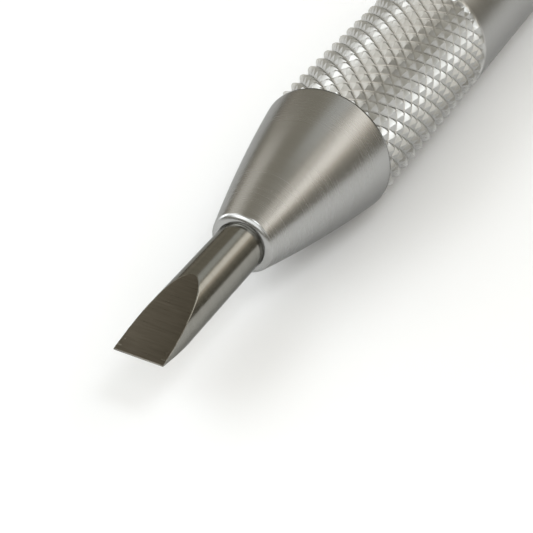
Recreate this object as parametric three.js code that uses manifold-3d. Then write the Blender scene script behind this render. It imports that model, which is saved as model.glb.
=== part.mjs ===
// Double-ended cuticle pusher. A hollow knurled handle has a turned nose pressed into each end.
// The front nose grips a pin ground to a straight chisel edge, and the rear nose a cupped spoon.
// Millimetres, +Z up. The tool lies along Y with the chisel towards -Y, and rests on its barrel
// at Z = 0. The origin is below the middle of its length.
import * as THREE from 'three';
import { mergeVertices } from 'three/addons/utils/BufferGeometryUtils.js';
import Module from 'manifold-3d';

// Driving dimensions
const BARREL_RADIUS = 4.0;        // over the crests of the knurling
const BARREL_LENGTH = 84.0;
const WALL = 0.8;
const NOSE_LENGTH = 9.45;         // from the barrel's end to the start of the rounded lip
const MOUTH_RADIUS = 1.76;
const MOUTH_SLOPE = THREE.MathUtils.degToRad(15.7);
const PIN_RADIUS = 1.31;
const CHISEL_LENGTH = 9.66;       // the stretch outside the nose
const BEVEL_LENGTH = 5.05;
const SPOON_LENGTH = 16.0;        // the stretch outside the nose
const SPOON_WIDTH = 5.2;
const BLADE_THICKNESS = 0.84;
const BLADE_LIFT = 0.9;           // of the spoon's end above its shank
const BLADE_CUP = 0.1;            // rise per square millimetre of distance from the middle

// Worked out from them
const KNURL_LENGTH = BARREL_RADIUS * 3.6;
const KNURL_RISE = 0.05;          // of the crests over the smooth middle
const SMOOTH_RADIUS = BARREL_RADIUS - KNURL_RISE;
const BORE_RADIUS = BARREL_RADIUS - WALL;
const HALF_BARREL = BARREL_LENGTH / 2;
const SPIGOT_LENGTH = BARREL_RADIUS * 2;
const SHANK_LENGTH = NOSE_LENGTH - 1.0;
const FIT_GAP = 0.05;             // left between pressed pieces
const LIP_RADIUS = 0.4;
const NOSE_FACE = NOSE_LENGTH + LIP_RADIUS * (1 - Math.sin(MOUTH_SLOPE));
const EDGE_THICKNESS = 0.06;
const CHAMFER = 0.15;

// A round piece has a flat facet lowest, so that the barrel lies on it.
const ROUND_SIDES = 48;
const AXIS_HEIGHT = BARREL_RADIUS * Math.cos(Math.PI / ROUND_SIDES);

const HANDLE_STEEL = { color: 0xb6b5b1, roughness: 0.34, metalness: 1.0 };
const TIP_STEEL = { color: 0x8b857b, roughness: 0.2, metalness: 1.0 };

const wasm = await Module();
wasm.setup();

function makeMesh(name, geometry, look) {
  const mesh = new THREE.Mesh(geometry, new THREE.MeshStandardMaterial(look));
  mesh.name = name;
  return mesh;
}

// Turns an outline of [radius, y] pairs about Y. Outer walls run towards +Y.
function turned(outline) {
  const points = outline.map(([radius, y]) => new THREE.Vector2(radius, y));
  return new THREE.LatheGeometry(points, ROUND_SIDES, Math.PI / ROUND_SIDES);
}

function toSolid(geometry) {
  const bare = geometry.clone();
  bare.deleteAttribute('normal');
  bare.deleteAttribute('uv');
  const merged = mergeVertices(bare, 1e-5);
  const vertProperties = new Float32Array(merged.attributes.position.array);
  const triVerts = new Uint32Array(merged.index.array);
  return new wasm.Manifold(new wasm.Mesh({ numProp: 3, vertProperties, triVerts }));
}

function toGeometry(solid) {
  const { vertProperties, triVerts } = solid.getMesh();
  const geometry = new THREE.BufferGeometry();
  geometry.setAttribute('position', new THREE.BufferAttribute(vertProperties, 3));
  geometry.setIndex(new THREE.BufferAttribute(triVerts, 1));
  geometry.computeVertexNormals();
  return geometry;
}

// Points of a circular arc in the (radius, y) plane, both ends included.
function arc(centreRadius, centreY, radius, fromAngle, toAngle, steps) {
  const points = [];
  for (let i = 0; i <= steps; i += 1) {
    const angle = THREE.MathUtils.lerp(fromAngle, toAngle, i / steps);
    points.push([centreRadius + radius * Math.cos(angle), centreY + radius * Math.sin(angle)]);
  }
  return points;
}

// The tube: a knurled band at each end, a smooth middle and a plain bore right through.
function handleTube() {
  const bandEnd = HALF_BARREL - KNURL_LENGTH;
  const half = [
    [SMOOTH_RADIUS, bandEnd - CHAMFER],
    [BARREL_RADIUS, bandEnd],
    [BARREL_RADIUS, HALF_BARREL - CHAMFER],
    [BARREL_RADIUS - CHAMFER, HALF_BARREL],
    [BORE_RADIUS, HALF_BARREL],
  ];
  const otherHalf = half.map(([radius, y]) => [radius, -y]).reverse();
  const outline = [...otherHalf, ...half, otherHalf[0]];
  return turned(outline);
}

// A nose, mouth towards -Y, with its shoulder at y = 0 and its spigot running to +Y. The outside
// is one shallow arc from the mouth to the shoulder, and a small round closes the mouth.
function nose() {
  const shoulderRadius = BARREL_RADIUS - CHAMFER / 2;
  const chordSlope = Math.atan2(shoulderRadius - MOUTH_RADIUS, NOSE_LENGTH);
  const halfTurn = MOUTH_SLOPE - chordSlope;
  const shoulderSlope = chordSlope - halfTurn;
  const ogiveRadius = NOSE_LENGTH / Math.cos(chordSlope) / 2 / Math.sin(halfTurn);
  const ogiveCentre = MOUTH_RADIUS - ogiveRadius * Math.cos(MOUTH_SLOPE);
  const ogiveY = ogiveRadius * Math.sin(MOUTH_SLOPE) - NOSE_LENGTH;
  const ogive = arc(ogiveCentre, ogiveY, ogiveRadius, -MOUTH_SLOPE, -shoulderSlope, 12);

  const lipCentre = MOUTH_RADIUS - LIP_RADIUS * Math.cos(MOUTH_SLOPE);
  const lipY = LIP_RADIUS - NOSE_FACE;
  const lip = arc(lipCentre, lipY, LIP_RADIUS, -Math.PI / 2, -MOUTH_SLOPE, 5).slice(0, -1);

  const pinBore = PIN_RADIUS + FIT_GAP;
  const spigotRadius = BORE_RADIUS - FIT_GAP;
  const start = [pinBore, -NOSE_FACE];
  return turned([
    start,
    ...lip,
    ...ogive,
    [spigotRadius, 0],
    [spigotRadius, SPIGOT_LENGTH - CHAMFER],
    [spigotRadius - CHAMFER, SPIGOT_LENGTH],
    [pinBore, SPIGOT_LENGTH],
    start,
  ]);
}

// The chisel pin, with y = 0 where it leaves the nose. Two flats meet at a straight edge along X.
function chiselPin() {
  const blank = turned([
    [0, -CHISEL_LENGTH],
    [PIN_RADIUS, -CHISEL_LENGTH],
    [PIN_RADIUS, SHANK_LENGTH - CHAMFER],
    [PIN_RADIUS - CHAMFER, SHANK_LENGTH],
    [0, SHANK_LENGTH],
  ]);
  // The side view of the stock that grinding leaves: a wedge that opens past the pin's radius.
  const halfEdge = EDGE_THICKNESS / 2;
  const slope = (PIN_RADIUS - halfEdge) / BEVEL_LENGTH;
  const ahead = halfEdge / slope / 2;
  const wedgeLength = BEVEL_LENGTH * 1.5;
  const wedgeEnd = wedgeLength - CHISEL_LENGTH;
  const halfWedge = halfEdge + slope * wedgeLength;
  const side = new THREE.Shape([
    new THREE.Vector2(-CHISEL_LENGTH - ahead, -halfEdge / 2),
    new THREE.Vector2(wedgeEnd, -halfWedge),
    new THREE.Vector2(SHANK_LENGTH + 1, -halfWedge),
    new THREE.Vector2(SHANK_LENGTH + 1, halfWedge),
    new THREE.Vector2(wedgeEnd, halfWedge),
    new THREE.Vector2(-CHISEL_LENGTH - ahead, halfEdge / 2),
  ]);
  const width = PIN_RADIUS * 3;
  const stock = new THREE.ExtrudeGeometry(side, { depth: width, bevelEnabled: false });
  stock.translate(0, 0, -width / 2);
  const alongY = new THREE.Vector3(0, 1, 0);
  const alongZ = new THREE.Vector3(0, 0, 1);
  const alongX = new THREE.Vector3(1, 0, 0);
  stock.applyMatrix4(new THREE.Matrix4().makeBasis(alongY, alongZ, alongX));
  return toGeometry(toSolid(blank).intersect(toSolid(stock)));
}

// The spoon's section at a distance from the nose: round in the shank, then wide, thin and cupped,
// with a round end that thins to its rim. The blade lifts gently towards its end.
function spoonSection(distance) {
  const { smoothstep } = THREE.MathUtils;
  const neckEnd = SPOON_LENGTH * 0.22;
  const bladeStart = SPOON_LENGTH * 0.62;
  const smallestEnd = 0.004;
  const flat = smoothstep(distance, neckEnd, bladeStart);
  const halfWidth = THREE.MathUtils.lerp(PIN_RADIUS, SPOON_WIDTH / 2, flat);
  const roundStart = SPOON_LENGTH - SPOON_WIDTH / 2;
  const intoRound = Math.max(0, distance - roundStart) / (SPOON_LENGTH - roundStart);
  const endWidth = Math.sqrt(Math.max(smallestEnd, 1 - intoRound ** 2));
  const roundedThickness = THREE.MathUtils.lerp(PIN_RADIUS, BLADE_THICKNESS / 2, flat);
  const halfThickness = roundedThickness * Math.sqrt(endWidth);
  const lift = BLADE_LIFT * (Math.max(0, distance - neckEnd) / (SPOON_LENGTH - neckEnd)) ** 2;
  return { halfWidth: halfWidth * endWidth, halfThickness, lift, cup: BLADE_CUP * flat };
}

// The spoon and its shank: a cylinder's rings moved to their places and reshaped to the section.
function pusherSpoon() {
  const sides = 40;
  const rings = 40;
  const geometry = new THREE.CylinderGeometry(1, 1, 1, sides, rings);
  const position = geometry.attributes.position;
  for (let i = 0; i < position.count; i += 1) {
    // Rings are closer together towards the spoon's end, where the outline turns quickly.
    const share = Math.sin((0.5 - position.getY(i)) * Math.PI / 2);
    const y = THREE.MathUtils.lerp(SHANK_LENGTH, -SPOON_LENGTH, share);
    const { halfWidth, halfThickness, lift, cup } = spoonSection(Math.max(0, -y));
    const x = position.getX(i) * halfWidth;
    const z = position.getZ(i) * halfThickness + lift + cup * (x ** 2 - 1);
    position.setXYZ(i, x, y, z);
  }
  return geometry;
}

const frontEnd = new THREE.Group();
frontEnd.position.y = -HALF_BARREL - FIT_GAP;
const frontPin = makeMesh('chisel_pin', chiselPin(), TIP_STEEL);
frontEnd.add(makeMesh('front_nose', nose(), HANDLE_STEEL), frontPin);

const rearEnd = new THREE.Group();
rearEnd.position.y = HALF_BARREL + FIT_GAP;
rearEnd.rotation.z = Math.PI;
const rearPin = makeMesh('pusher_spoon', pusherSpoon(), TIP_STEEL);
rearEnd.add(makeMesh('rear_nose', nose(), HANDLE_STEEL), rearPin);

// Both pins leave their noses at the lip's face.
frontPin.position.y = -NOSE_FACE;
rearPin.position.y = -NOSE_FACE;

const tool = new THREE.Group();
tool.position.set(0, (CHISEL_LENGTH - SPOON_LENGTH) / 2, AXIS_HEIGHT);
tool.add(makeMesh('handle_tube', handleTube(), HANDLE_STEEL), frontEnd, rearEnd);

export default tool;
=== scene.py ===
"""Looks of the double-ended cuticle pusher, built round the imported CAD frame.

The handle, both noses, the chisel pin and the spoon are rebuilt here as fine meshes in the places of
their CAD nodes: real diamond knurling, turned noses with rounded lips, a pin with ground flats.
Lengths are in metres in the row frame: the tool lies along Y with its chisel towards -Y.
"""

import math

import bpy
import numpy as np
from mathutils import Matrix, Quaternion, Vector


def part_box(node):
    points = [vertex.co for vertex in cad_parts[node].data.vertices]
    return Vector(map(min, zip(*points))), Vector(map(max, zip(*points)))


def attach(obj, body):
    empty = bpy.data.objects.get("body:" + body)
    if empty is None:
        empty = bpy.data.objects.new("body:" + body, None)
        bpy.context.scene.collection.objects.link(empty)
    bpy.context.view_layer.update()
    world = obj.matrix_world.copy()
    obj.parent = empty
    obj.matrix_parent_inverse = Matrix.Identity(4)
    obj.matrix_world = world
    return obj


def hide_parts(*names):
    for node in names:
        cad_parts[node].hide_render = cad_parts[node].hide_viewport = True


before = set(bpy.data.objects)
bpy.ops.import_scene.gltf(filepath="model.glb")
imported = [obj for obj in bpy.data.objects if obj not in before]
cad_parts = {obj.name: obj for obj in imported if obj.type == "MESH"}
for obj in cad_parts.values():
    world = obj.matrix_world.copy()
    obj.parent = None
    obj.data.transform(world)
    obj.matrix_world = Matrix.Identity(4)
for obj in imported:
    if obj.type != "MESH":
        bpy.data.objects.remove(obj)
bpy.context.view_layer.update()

MM = 0.001

# ---------------------------------------------------------------- places taken from the frame
tube_low, tube_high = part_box("handle_tube")
pin_low, pin_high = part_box("chisel_pin")
spoon_tip_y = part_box("pusher_spoon")[1].y
MOUTH_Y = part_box("front_nose")[0].y
REAR_MOUTH_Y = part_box("rear_nose")[1].y

AXIS_Z = (tube_low.z + tube_high.z) / 2
HALF_BARREL = (tube_high.y - tube_low.y) / 2
BARREL_MID = (tube_high.y + tube_low.y) / 2
BARREL_RADIUS = AXIS_Z - tube_low.z
CHISEL_LENGTH = MOUTH_Y - pin_low.y
SPOON_LENGTH = spoon_tip_y - REAR_MOUTH_Y
SHANK_IN_NOSE = pin_high.y - MOUTH_Y

# ---------------------------------------------------------------- dimensions shared with the CAD
WALL = 0.8 * MM
NOSE_LENGTH = 9.45 * MM
MOUTH_RADIUS = 1.76 * MM
MOUTH_SLOPE = math.radians(15.7)
LIP_RADIUS = 0.4 * MM
PIN_RADIUS = 1.31 * MM
BEVEL_LENGTH = 5.05 * MM
EDGE_THICKNESS = 0.06 * MM
SPOON_WIDTH = 5.2 * MM
NECK_SHARE = 0.22
BLADE_SHARE = 0.62
BLADE_THICKNESS = 0.84 * MM
BLADE_LIFT = 0.9 * MM
BLADE_CUP = 0.1 / MM
CUP_LEVEL_AT = 1.0 * MM
SMALLEST_END = 0.004
SPIGOT_LENGTH = 8.0 * MM
FIT_GAP = 0.05 * MM
CHAMFER = 0.15 * MM
KNURL_LENGTH = 14.4 * MM
KNURL_RISE = 0.05 * MM
SMOOTH_RADIUS = BARREL_RADIUS - KNURL_RISE
NOSE_FACE = NOSE_LENGTH + LIP_RADIUS * (1 - math.sin(MOUTH_SLOPE))
BORE_RADIUS = BARREL_RADIUS - WALL

# ---------------------------------------------------------------- details of the looks only
# Between the noses' bores and the pins.
CLOSE_FIT = 0.006 * MM
# Lengths of the lip curve's two handles, as shares of the lip's radius.
LIP_RIM_PULL = 0.6
LIP_START_PULL = 0.42
LIP_STEPS = 20
OGIVE_STEPS = 90
NOSE_SIDES = 192
SPOON_SIDES = 96
SPOON_RINGS = 150

DIAMONDS_AROUND = 24
DIAMOND_LENGTH = 1.05 * MM
KNURL_DEPTH = 0.305 * MM
STEPS_ACROSS_DIAMOND = 12
# The stretch over which the grooves die away into the smooth barrel.
RUN_OUT = 0.45 * MM
# Height from the groove's bottom (first) to the crest (last), as shares of the depth.
FLANK = (0.0, 0.13, 0.33, 0.53, 0.73, 0.91, 0.97)
# Each diamond's crest is worn down by a random share of its height, up to this.
CREST_WEAR = 0.08
WEAR_VALUES = 4096
# Joins the two helix numbers of a diamond, so that neighbours get different wear.
DIAMOND_STRIDE = 131

# The ground flats: a slight crown, the grinding lines' depth and the wear along their rims.
FLAT_CROWN = 0.03 * MM
CROWN_RUN_IN = 1.0 * MM
SCRATCH_DEPTH = 0.0006 * MM
RIM_ROUNDING = 0.006 * MM
# Rings of points are this close where the pin is ground, and until just past the flats.
RING_PITCH = 0.035 * MM
PAST_FLATS = 0.4 * MM
SHANK_RINGS = 24
# A face belongs to a ground flat if it leans no further than this from it.
FLAT_TOLERANCE = math.radians(4)


# ---------------------------------------------------------------- mesh helpers
def new_object(name, vertices, faces):
    """A smooth-shaded mesh object in the row frame from arrays of points and faces."""
    mesh = bpy.data.meshes.new(name)
    mesh.from_pydata([tuple(v) for v in vertices], [], faces)
    mesh.validate()
    mesh.update()
    mesh.polygons.foreach_set("use_smooth", [True] * len(mesh.polygons))
    made = bpy.data.objects.new(name, mesh)
    bpy.context.scene.collection.objects.link(made)
    return made


def grid_faces(rings, sides, closed_rings=False):
    """Quads of a grid of rings x sides points, closed round the sides."""
    ring = np.arange(rings if closed_rings else rings - 1)
    side = np.arange(sides)
    near, ahead = np.meshgrid(ring, side, indexing="ij")
    next_ring = (near + 1) % rings
    next_side = (ahead + 1) % sides
    quads = np.stack(
        [
            near * sides + ahead,
            next_ring * sides + ahead,
            next_ring * sides + next_side,
            near * sides + next_side,
        ],
        -1,
    )
    return quads.reshape(-1, 4).tolist()


def around(radius, y, turn):
    """Points at a radius and an angle about the tool's axis. Angle 0 is straight up, towards +X."""
    radius, y, turn = np.broadcast_arrays(radius, y, turn)
    return np.stack(
        [radius * np.sin(turn), y, AXIS_Z + radius * np.cos(turn)], -1
    ).reshape(-1, 3)


def arc(centre_radius, centre_y, radius, start, end, steps):
    """Points [radius, y] of a circular arc, both ends included."""
    turn = np.linspace(start, end, steps + 1)
    return np.stack(
        [centre_radius + radius * np.cos(turn), centre_y + radius * np.sin(turn)], 1
    )


def smoothstep(x, low, high):
    """Rises from 0 to 1 between low and high, level at both."""
    share = np.clip((x - low) / (high - low), 0, 1)
    return share * share * (3 - 2 * share)


def smooth_min(a, b, blend):
    """The smaller of a and b, rounded over the width of the blend where they meet."""
    share = np.clip(0.5 + 0.5 * (b - a) / blend, 0, 1)
    return b + (a - b) * share - blend * share * (1 - share)


def flip_if_inside_out(made):
    """Turns the faces outward, judged by the signed volume of the closed mesh."""
    mesh = made.data
    mesh.calc_loop_triangles()
    co = np.zeros(len(mesh.vertices) * 3)
    mesh.vertices.foreach_get("co", co)
    co = co.reshape(-1, 3)
    corner = np.zeros(len(mesh.loop_triangles) * 3, np.int32)
    mesh.loop_triangles.foreach_get("vertices", corner)
    tri = co[corner.reshape(-1, 3)]
    volume = np.einsum("ij,ij->i", tri[:, 0], np.cross(tri[:, 1], tri[:, 2])).sum()
    if volume < 0:
        mesh.flip_normals()


def capped_tube(name, rings):
    """A closed mesh through rings of equally many points, with a flat cap at each end."""
    sides = len(rings[0])
    points = np.concatenate(rings)
    first_cap = list(range(sides))
    last_cap = list(range((len(rings) - 1) * sides, len(rings) * sides))[::-1]
    made = new_object(name, points, grid_faces(len(rings), sides) + [first_cap, last_cap])
    flip_if_inside_out(made)
    return made


# ---------------------------------------------------------------- handle
def knurl_height(ring, side):
    """Height over the groove's bottom, 0 to 1, and the diamond's number, on the knurl's grid.

    Two crossing sets of helical grooves leave diamonds. The grid's lines run through their corners.
    """
    half = STEPS_ACROSS_DIAMOND // 2
    rising = (side + ring) % STEPS_ACROSS_DIAMOND
    falling = (side - ring) % STEPS_ACROSS_DIAMOND
    level = half - np.maximum(np.abs(rising - half), np.abs(falling - half))
    rising_number = (side + ring) // STEPS_ACROSS_DIAMOND
    falling_number = (side - ring) // STEPS_ACROSS_DIAMOND
    diamond = rising_number * DIAMOND_STRIDE + falling_number
    return np.interp(level, np.arange(half + 1), FLANK), diamond


def split_cost(one_end, other_end):
    """How unlevel a quad's diagonal is, with a little added for its height."""
    return np.abs(one_end - other_end) + (one_end + other_end) / 10


def knurl_triangles(first_ring, heights):
    """Triangles of a knurled band, numbered from its first ring.

    Each quad is split along the diagonal whose ends are most nearly level, and along the lower one
    where both are level, so that grooves are never bridged.
    """
    rings, sides = heights.shape
    ring, side = np.meshgrid(np.arange(rings - 1), np.arange(sides), indexing="ij")
    height_here = heights[:-1]
    height_ahead = heights[1:]
    height_beside = np.roll(height_here, -1, 1)
    height_across = np.roll(height_ahead, -1, 1)
    falling_cost = split_cost(height_beside, height_ahead)
    rising_cost = split_cost(height_here, height_across)
    along_falling = falling_cost <= rising_cost
    here = (first_ring + ring) * sides + side
    beside = (first_ring + ring) * sides + (side + 1) % sides
    ahead = here + sides
    across = beside + sides
    faces = []
    corners = np.stack([here, beside, across, ahead], -1).reshape(-1, 4).tolist()
    for (a, b, c, d), split in zip(corners, along_falling.ravel()):
        if split:
            faces += [(a, d, b), (d, c, b)]
        else:
            faces += [(a, d, c), (a, c, b)]
    return faces


def knurled_band(side):
    """A band's rings as (distance from the barrel's end, radii), and its heights on the grid."""
    step = DIAMOND_LENGTH / STEPS_ACROSS_DIAMOND
    ring_count = int(round(KNURL_LENGTH / step)) + 1
    random = np.random.default_rng(7)
    crest = 1 - CREST_WEAR * random.random(WEAR_VALUES)
    band = []
    heights = []
    for ring in range(ring_count):
        from_end = ring * step
        height, diamond = knurl_height(ring, side)
        heights.append(height)
        fade = 1 - float(smoothstep(from_end, KNURL_LENGTH - RUN_OUT, KNURL_LENGTH))
        depth = KNURL_DEPTH * fade
        radius = BARREL_RADIUS - depth + depth * height * crest[diamond % WEAR_VALUES]
        radius = radius * fade + SMOOTH_RADIUS * (1 - fade)
        radius = np.minimum(radius, BARREL_RADIUS - max(0, CHAMFER - from_end))
        band.append((from_end, radius))
    return band, np.array(heights)


def handle():
    """The tube: knurled bands at both ends, a plain middle and a bore through it.

    Its knurled faces have the second material and all others the first.
    """
    sides = DIAMONDS_AROUND * STEPS_ACROSS_DIAMOND
    side = np.arange(sides)
    turn = side * 2 * math.pi / sides
    band, heights = knurled_band(side)
    band_rings = len(band)
    front = [(BARREL_MID - HALF_BARREL + e, r) for e, r in band]
    rear = [(BARREL_MID + HALF_BARREL - e, r) for e, r in band][::-1]
    inner_y = [BARREL_MID + HALF_BARREL, BARREL_MID, BARREL_MID - HALF_BARREL]
    inner = [(y, BORE_RADIUS + 0 * turn) for y in inner_y]
    rings = front + rear + inner
    points = np.concatenate([around(r, y, turn) for y, r in rings])
    quads = np.array(grid_faces(len(rings), sides, True))
    ring_of = quads[:, 0] // sides
    is_plain = (ring_of == band_rings - 1) | (ring_of >= 2 * band_rings - 1)
    plain = quads[is_plain].tolist()
    knurl = knurl_triangles(0, heights) + knurl_triangles(band_rings, heights[::-1])
    made = new_object("handle_knurled", points, plain + knurl)
    smooth = [True] * len(plain) + [False] * len(knurl)
    made.data.polygons.foreach_set("use_smooth", smooth)
    made.data.polygons.foreach_set("material_index", [0] * len(plain) + [1] * len(knurl))
    flip_if_inside_out(made)
    return made


# ---------------------------------------------------------------- noses
def lip_curve(bore):
    """The rounded lip from the bore's rim to the start of the nose's long arc.

    It is a cubic curve, square to the axis at the rim and along the arc's slope at its other end.
    """
    rim = np.array([bore, -NOSE_FACE])
    start = np.array([MOUTH_RADIUS, -NOSE_LENGTH])
    slope = np.array([math.sin(MOUTH_SLOPE), math.cos(MOUTH_SLOPE)])
    rim_pull = rim + [LIP_RADIUS * LIP_RIM_PULL, 0]
    start_pull = start - LIP_RADIUS * LIP_START_PULL * slope
    share = np.linspace(0, 1, LIP_STEPS, endpoint=False)[:, None]
    left = 1 - share
    return (
        left**3 * rim
        + 3 * left**2 * share * rim_pull
        + 3 * left * share**2 * start_pull
        + share**3 * start
    )


def nose_outline():
    """The nose's section as [radius, y], with its shoulder at y = 0 and its mouth at negative y."""
    shoulder_radius = BARREL_RADIUS - CHAMFER / 2
    chord_slope = math.atan2(shoulder_radius - MOUTH_RADIUS, NOSE_LENGTH)
    half_turn = MOUTH_SLOPE - chord_slope
    ogive_radius = NOSE_LENGTH / math.cos(chord_slope) / 2 / math.sin(half_turn)
    ogive_centre = MOUTH_RADIUS - ogive_radius * math.cos(MOUTH_SLOPE)
    ogive_y = ogive_radius * math.sin(MOUTH_SLOPE) - NOSE_LENGTH
    shoulder_slope = chord_slope - half_turn
    ogive = arc(ogive_centre, ogive_y, ogive_radius, -MOUTH_SLOPE, -shoulder_slope, OGIVE_STEPS)
    bore = PIN_RADIUS + CLOSE_FIT
    lip = lip_curve(bore)
    spigot = BORE_RADIUS - FIT_GAP
    inside = [
        [spigot, 0],
        [spigot, SPIGOT_LENGTH - CHAMFER],
        [spigot - CHAMFER, SPIGOT_LENGTH],
        [bore, SPIGOT_LENGTH],
    ]
    return np.concatenate([lip, ogive, inside])


def nose(name, mouth_y, heading):
    """A turned nose with its mouth at mouth_y, opening towards heading (-1 is the front end)."""
    outline = nose_outline()
    turn = np.arange(NOSE_SIDES) * 2 * math.pi / NOSE_SIDES
    y = mouth_y - heading * (outline[:, 1] + NOSE_FACE)
    points = around(outline[:, :1], y[:, None], turn[None])
    made = new_object(name, points, grid_faces(len(outline), NOSE_SIDES, True))
    flip_if_inside_out(made)
    return made


# ---------------------------------------------------------------- chisel pin
def section_angles(half):
    """Angles round the pin's section, closest together at the corners of its two flats.

    Half is the half thickness there. Angle 0 is to the side, along X.
    """
    side_steps = 36
    flat_steps = 44
    crowding = 0.8
    largest_sine = 0.866
    corner = math.asin(min(largest_sine, half / PIN_RADIUS))
    ease = np.linspace(-1, 1, side_steps, endpoint=False)
    side = corner * np.sign(ease) * np.abs(ease) ** crowding
    share = np.linspace(0, 1, flat_steps, endpoint=False)
    flat = corner + (math.pi - 2 * corner) * (0.5 - 0.5 * np.cos(math.pi * share))
    return np.concatenate([side, flat, side + math.pi, flat + math.pi])


def chisel_ring(distance, half, bulge):
    """Points round the pin at a distance from its edge: the circle cut off by two crowned flats."""
    smallest_rise = 1e-6
    lift = section_angles(half)
    rise = np.maximum(np.abs(np.sin(lift)), smallest_rise)
    across = np.minimum(1, half / PIN_RADIUS / rise) * np.cos(lift)
    to_flat = (half - bulge * across**2) / rise
    reach = smooth_min(np.full_like(lift, PIN_RADIUS), to_flat, RIM_ROUNDING)
    x = reach * np.cos(lift)
    z = reach * np.sin(lift)
    return np.stack([x, np.full_like(x, pin_low.y + distance), AXIS_Z + z], -1)


def chisel():
    """A round pin whose end is ground from two sides to a straight edge.

    Its ground flats have the second material and all other faces the first.
    """
    half_edge = EDGE_THICKNESS / 2
    slope = (PIN_RADIUS - half_edge) / BEVEL_LENGTH
    bevel = np.arange(0, BEVEL_LENGTH + PAST_FLATS, RING_PITCH)
    shank = np.linspace(BEVEL_LENGTH + PAST_FLATS * 1.5, CHISEL_LENGTH, SHANK_RINGS)
    hidden = CHISEL_LENGTH + np.array([0.5, 1.0]) * (SHANK_IN_NOSE - CHAMFER)
    distance = np.concatenate([bevel, shank, hidden])
    crown = FLAT_CROWN * smoothstep(distance, 0, CROWN_RUN_IN)
    scratch = SCRATCH_DEPTH * np.random.default_rng(11).normal(size=len(distance))
    rings = []
    for d, bulge, mark in zip(distance, crown, scratch):
        half = half_edge + slope * d + mark * (d > 0)
        rings.append(chisel_ring(d, half, bulge))
    made = capped_tube("chisel_ground", rings)
    lean = math.atan(slope)
    bevel_end = pin_low.y + BEVEL_LENGTH + PAST_FLATS / 4
    for face in made.data.polygons:
        flatness = abs(face.normal.z) * math.cos(lean) - face.normal.y * math.sin(lean)
        if flatness > math.cos(FLAT_TOLERANCE) and face.center.y < bevel_end:
            face.material_index = 1
    return made


# ---------------------------------------------------------------- spoon
def spoon_section(distance):
    """Half width, half thickness, lift and cup of the spoon at a distance from the nose's mouth."""
    neck_end = SPOON_LENGTH * NECK_SHARE
    blade_start = SPOON_LENGTH * BLADE_SHARE
    flat = float(smoothstep(distance, neck_end, blade_start))
    half_width = PIN_RADIUS + (SPOON_WIDTH / 2 - PIN_RADIUS) * flat
    round_start = SPOON_LENGTH - SPOON_WIDTH / 2
    into_round = max(0, distance - round_start) / (SPOON_LENGTH - round_start)
    end_width = math.sqrt(max(SMALLEST_END, 1 - into_round**2))
    rounded_thickness = PIN_RADIUS + (BLADE_THICKNESS / 2 - PIN_RADIUS) * flat
    half_thickness = rounded_thickness * math.sqrt(end_width)
    lift = BLADE_LIFT * (max(0, distance - neck_end) / (SPOON_LENGTH - neck_end)) ** 2
    return half_width * end_width, half_thickness, lift, BLADE_CUP * flat


def spoon():
    """The pushing end: a round shank flattened to a cupped blade with a round end."""
    turn = np.arange(SPOON_SIDES) * 2 * math.pi / SPOON_SIDES
    rings = []
    # Rings are closer together towards the spoon's end, where the outline turns quickly.
    for share in np.sin(np.linspace(0, 1, SPOON_RINGS) * math.pi / 2):
        distance = -SHANK_IN_NOSE + share * (SPOON_LENGTH + SHANK_IN_NOSE)
        half_width, half_thickness, lift, cup = spoon_section(max(0, distance))
        x = np.sin(turn) * half_width
        z = np.cos(turn) * half_thickness + lift + cup * (x**2 - CUP_LEVEL_AT**2)
        y = np.full_like(x, REAR_MOUTH_Y + distance)
        rings.append(np.stack([x, y, AXIS_Z + z], -1))
    return capped_tube("spoon_polished", rings)


# ---------------------------------------------------------------- materials
CLOUD_SCALE = 350
LINE_SHARE = 0.6


def streaks(nodes, links, stretch):
    """Noise squeezed along one axis and drawn out along the others, and the same with soft clouds.

    The first result is the fine lines alone, for the bump. The second is both, spread over 0 to 1.
    """
    place = nodes.new("ShaderNodeTexCoord")
    cloud = nodes.new("ShaderNodeTexNoise")
    cloud.inputs["Scale"].default_value = CLOUD_SCALE
    cloud.inputs["Detail"].default_value = 4
    links.new(place.outputs["Object"], cloud.inputs["Vector"])

    squeeze = nodes.new("ShaderNodeMapping")
    squeeze.inputs["Scale"].default_value = stretch
    links.new(place.outputs["Object"], squeeze.inputs["Vector"])
    lines = nodes.new("ShaderNodeTexNoise")
    lines.inputs["Scale"].default_value = 1.0
    lines.inputs["Detail"].default_value = 5
    lines.inputs["Roughness"].default_value = 0.65
    links.new(squeeze.outputs["Vector"], lines.inputs["Vector"])

    both = nodes.new("ShaderNodeMath")
    both.operation = "MULTIPLY_ADD"
    both.inputs[1].default_value = LINE_SHARE
    links.new(lines.outputs["Fac"], both.inputs[0])
    part = nodes.new("ShaderNodeMath")
    part.operation = "MULTIPLY"
    part.inputs[1].default_value = 1 - LINE_SHARE
    links.new(cloud.outputs["Fac"], part.inputs[0])
    links.new(part.outputs["Value"], both.inputs[2])
    spread = nodes.new("ShaderNodeMapRange")
    spread.inputs["From Min"].default_value = 0.3
    spread.inputs["From Max"].default_value = 0.7
    links.new(both.outputs["Value"], spread.inputs["Value"])
    return lines.outputs["Fac"], spread.outputs["Result"]


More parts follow.
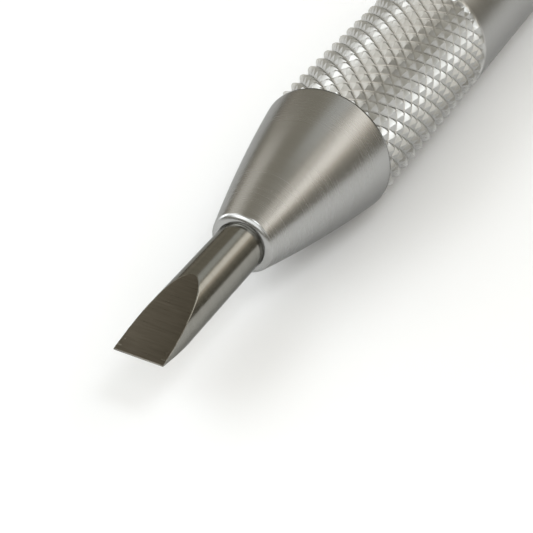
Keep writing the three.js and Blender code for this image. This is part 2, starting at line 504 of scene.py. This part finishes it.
def steel(name, dark, light, roughness, anisotropy, edge, stretch, bump_strength, bump_height):
    """A steel between a dark and a light tone, whose streaks show in tone, gloss and bump.

    Edge is its reflectance at grazing angles, and stretch the scale of its streaks along X, Y and Z.
    """
    made = bpy.data.materials.new(name)
    made.use_nodes = True
    nodes = made.node_tree.nodes
    links = made.node_tree.links
    shader = nodes["Principled BSDF"]
    shader.inputs["Metallic"].default_value = 1.0
    shader.inputs["Anisotropic"].default_value = anisotropy
    shader.inputs["Specular Tint"].default_value = (edge, edge, edge, 1)
    lines, mottle = streaks(nodes, links, stretch)

    tone = nodes.new("ShaderNodeMix")
    tone.data_type = "RGBA"
    tone.inputs["A"].default_value = (*dark, 1)
    tone.inputs["B"].default_value = (*light, 1)
    links.new(mottle, tone.inputs["Factor"])
    links.new(tone.outputs["Result"], shader.inputs["Base Color"])
    gloss = nodes.new("ShaderNodeMapRange")
    gloss.inputs["To Min"].default_value = roughness * 0.85
    gloss.inputs["To Max"].default_value = roughness * 1.15
    links.new(mottle, gloss.inputs["Value"])
    links.new(gloss.outputs["Result"], shader.inputs["Roughness"])

    bump = nodes.new("ShaderNodeBump")
    bump.inputs["Strength"].default_value = bump_strength
    bump.inputs["Distance"].default_value = bump_height
    links.new(lines, bump.inputs["Height"])
    links.new(bump.outputs["Normal"], shader.inputs["Normal"])
    if anisotropy:
        tangent = nodes.new("ShaderNodeTangent")
        tangent.direction_type = "RADIAL"
        tangent.axis = "Y"
        links.new(tangent.outputs["Tangent"], shader.inputs["Tangent"])
    return made


# Turning leaves rings round the axis, so those streaks are close together along Y only.
TURNED = (60, 9000, 60)

# The knurled band is the same steel as the plain barrel but painted a lighter tone. That lighter tone
# is a painted sheen standing in for the light its facets catch, while its greater roughness and its
# bump are the knurl's own finish.
knurl_steel_painted_sheen = steel(
    "knurl_steel_painted_sheen",
    dark=(0.47, 0.47, 0.46),
    light=(0.55, 0.55, 0.54),
    roughness=0.36,
    anisotropy=0,
    edge=0.7,
    stretch=(900, 2500, 900),
    bump_strength=0.25,
    bump_height=0.01 * MM,
)
handle_steel = steel(
    "handle_steel",
    dark=(0.41, 0.41, 0.405),
    light=(0.47, 0.47, 0.465),
    roughness=0.34,
    anisotropy=0,
    edge=0.55,
    stretch=TURNED,
    bump_strength=0.015,
    bump_height=0.004 * MM,
)
nose_steel = steel(
    "nose_steel",
    dark=(0.39, 0.39, 0.385),
    light=(0.42, 0.42, 0.415),
    roughness=0.26,
    anisotropy=0.5,
    edge=0.55,
    stretch=TURNED,
    bump_strength=0.015,
    bump_height=0.004 * MM,
)
pin_steel = steel(
    "pin_steel",
    dark=(0.235, 0.23, 0.21),
    light=(0.3, 0.293, 0.27),
    roughness=0.18,
    anisotropy=0.3,
    edge=0.45,
    stretch=(700, 5000, 700),
    bump_strength=0.2,
    bump_height=0.004 * MM,
)
ground_steel = steel(
    "ground_steel",
    dark=(0.101, 0.091, 0.075),
    light=(0.158, 0.143, 0.119),
    roughness=0.3,
    anisotropy=0.3,
    edge=0.5,
    stretch=(700, 9000, 700),
    bump_strength=0.35,
    bump_height=0.006 * MM,
)


# ---------------------------------------------------------------- build
handle_piece = handle()
front_nose_piece = nose("front_nose_turned", MOUTH_Y, -1)
rear_nose_piece = nose("rear_nose_turned", REAR_MOUTH_Y, 1)
chisel_piece = chisel()
spoon_piece = spoon()

for piece, node, slot_name, materials in (
    (handle_piece, "handle_tube", "handle_steel", (handle_steel, knurl_steel_painted_sheen)),
    (front_nose_piece, "front_nose", "handle_steel", (nose_steel,)),
    (rear_nose_piece, "rear_nose", "handle_steel", (nose_steel,)),
    (chisel_piece, "chisel_pin", "tip_steel", (pin_steel, ground_steel)),
    (spoon_piece, "pusher_spoon", "tip_steel", (pin_steel,)),
):
    for material in materials:
        piece.data.materials.append(material)
    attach(piece, "root")
    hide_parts(node)


# ---------------------------------------------------------------- floor
FLOOR_REACH = 3.0


def floor():
    """A plain pale square under the tool."""
    mesh = bpy.data.meshes.new("floor")
    r = FLOOR_REACH
    mesh.from_pydata([(-r, -r, 0), (r, -r, 0), (r, r, 0), (-r, r, 0)], [], [(0, 1, 2, 3)])
    made = bpy.data.objects.new("floor", mesh)
    bpy.context.scene.collection.objects.link(made)
    paint = bpy.data.materials.new("floor_white")
    paint.use_nodes = True
    shader = paint.node_tree.nodes["Principled BSDF"]
    shader.inputs["Base Color"].default_value = (0.94, 0.945, 0.965, 1)
    shader.inputs["Roughness"].default_value = 0.9
    shader.inputs["Specular IOR Level"].default_value = 0.1
    mesh.materials.append(paint)


floor()


# ---------------------------------------------------------------- light
LIGHT_DISTANCE = 0.6
COOL = (0.93, 0.97, 1.0)
COLD = (0.85, 0.93, 1)
WARM = (1, 0.97, 0.92)

# Name, azimuth and elevation in degrees, width and height in metres, radiance, colour and roll.
SOFTBOXES = (
    ("behind", 180, 45, 0.90, 0.42, 1.7, COOL, 0),
    ("overhead", 106, 66, 0.16, 0.16, 6.0, COOL, 0),
    ("side_right", 106, 32, 0.30, 0.12, 1.1, COOL, 0),
    ("right_strip", 48, 41, 0.80, 0.15, 1.45, WARM, 0),
    ("right_low", 52, 30.5, 0.70, 0.08, 0.5, (1, 0.85, 0.7), 0),
    ("right_high", 62, 56, 0.40, 0.12, 0.6, (1, 0.95, 0.88), 0),
    ("left_near", -124, 44, 0.62, 0.30, 2.1, COOL, 0),
    ("left_low", -88, 13, 0.28, 0.20, 4.0, COOL, 0),
    ("left_far", -74, 33, 0.40, 0.28, 0.57, WARM, 0),
    ("left_high", -74, 54, 0.22, 0.14, 0.6, WARM, 0),
    ("left_horizon", -55, 13, 0.50, 0.17, 0.22, (1, 0.9, 0.75), 0),
    ("far_high", 8, 60, 0.21, 0.11, 0.42, COLD, 0),
    ("far_patch", 1, 48, 0.28, 0.09, 0.58, COLD, -27),
    ("far_low", 2, 30, 0.30, 0.09, 0.6, COLD, 0),
)


def direction(azimuth, elevation):
    """Unit vector; azimuth runs from +Y towards +X."""
    a = math.radians(azimuth)
    e = math.radians(elevation)
    return Vector((math.sin(a) * math.cos(e), math.cos(a) * math.cos(e), math.sin(e)))


def softbox(name, azimuth, elevation, width, height, radiance, colour, roll):
    """A rectangular area light of a given radiance that faces the front nose's mouth."""
    light = bpy.data.lights.new(name, "AREA")
    light.shape = "RECTANGLE"
    light.size = width
    light.size_y = height
    light.energy = radiance * width * height * math.pi
    light.color = colour
    made = bpy.data.objects.new(name, light)
    towards = direction(azimuth, elevation)
    made.location = Vector((0, MOUTH_Y, AXIS_Z)) + towards * LIGHT_DISTANCE
    made.rotation_mode = "QUATERNION"
    turn = Quaternion((0, 0, 1), math.radians(roll))
    made.rotation_quaternion = towards.to_track_quat("Z", "Y") @ turn
    bpy.context.scene.collection.objects.link(made)


for row in SOFTBOXES:
    softbox(*row)


# ---------------------------------------------------------------- backdrop
WORLD_COLOUR = (1, 0.93, 0.75, 1)
WORLD_STRENGTH = 0.37
HORIZON_SHARE = 0.55
DIM_BELOW = math.radians(8)
FULL_ABOVE = math.radians(28)


def studio_world():
    """A warm dim backdrop, dimmer still towards the horizon."""
    world = bpy.data.worlds.new("studio")
    bpy.context.scene.world = world
    world.use_nodes = True
    nodes = world.node_tree.nodes
    links = world.node_tree.links
    background = nodes["Background"]
    background.inputs["Color"].default_value = WORLD_COLOUR
    place = nodes.new("ShaderNodeTexCoord")
    height = nodes.new("ShaderNodeSeparateXYZ")
    rise = nodes.new("ShaderNodeMapRange")
    rise.interpolation_type = "SMOOTHSTEP"
    rise.inputs["From Min"].default_value = math.sin(DIM_BELOW)
    rise.inputs["From Max"].default_value = math.sin(FULL_ABOVE)
    rise.inputs["To Min"].default_value = WORLD_STRENGTH * HORIZON_SHARE
    rise.inputs["To Max"].default_value = WORLD_STRENGTH
    links.new(place.outputs["Generated"], height.inputs["Vector"])
    links.new(height.outputs["Z"], rise.inputs["Value"])
    links.new(rise.outputs["Result"], background.inputs["Strength"])


studio_world()
bpy.context.scene.view_settings.view_transform = "Standard"


# ---------------------------------------------------------------- camera
VIEW_ELEVATION = math.radians(37.138)
VIEW_AZIMUTH = math.radians(27.708)
LENS = 94.56
SENSOR_WIDTH = 36
# The chisel's tip as seen from the camera: its depth, and its distance right of and above the centre.
TIP_DEPTH = 63.226 * MM
TIP_RIGHT = -5.803 * MM
TIP_UP = -4.115 * MM

right = Vector((math.cos(VIEW_AZIMUTH), math.sin(VIEW_AZIMUTH), 0))
heading = Vector((-math.sin(VIEW_AZIMUTH), math.cos(VIEW_AZIMUTH), 0))
forward = heading * math.cos(VIEW_ELEVATION) - Vector((0, 0, math.sin(VIEW_ELEVATION)))
up = heading * math.sin(VIEW_ELEVATION) + Vector((0, 0, math.cos(VIEW_ELEVATION)))
tip = Vector((0, pin_low.y, AXIS_Z))

camera = bpy.data.objects.new("camera", bpy.data.cameras.new("camera"))
camera.data.lens = LENS
camera.data.sensor_width = SENSOR_WIDTH
camera.data.clip_start = 0.002
camera.data.clip_end = 20
camera.location = tip - forward * TIP_DEPTH - right * TIP_RIGHT - up * TIP_UP
camera.rotation_mode = "QUATERNION"
camera.rotation_quaternion = (-forward).to_track_quat("Z", "Y")
bpy.context.scene.collection.objects.link(camera)
bpy.context.scene.camera = camera
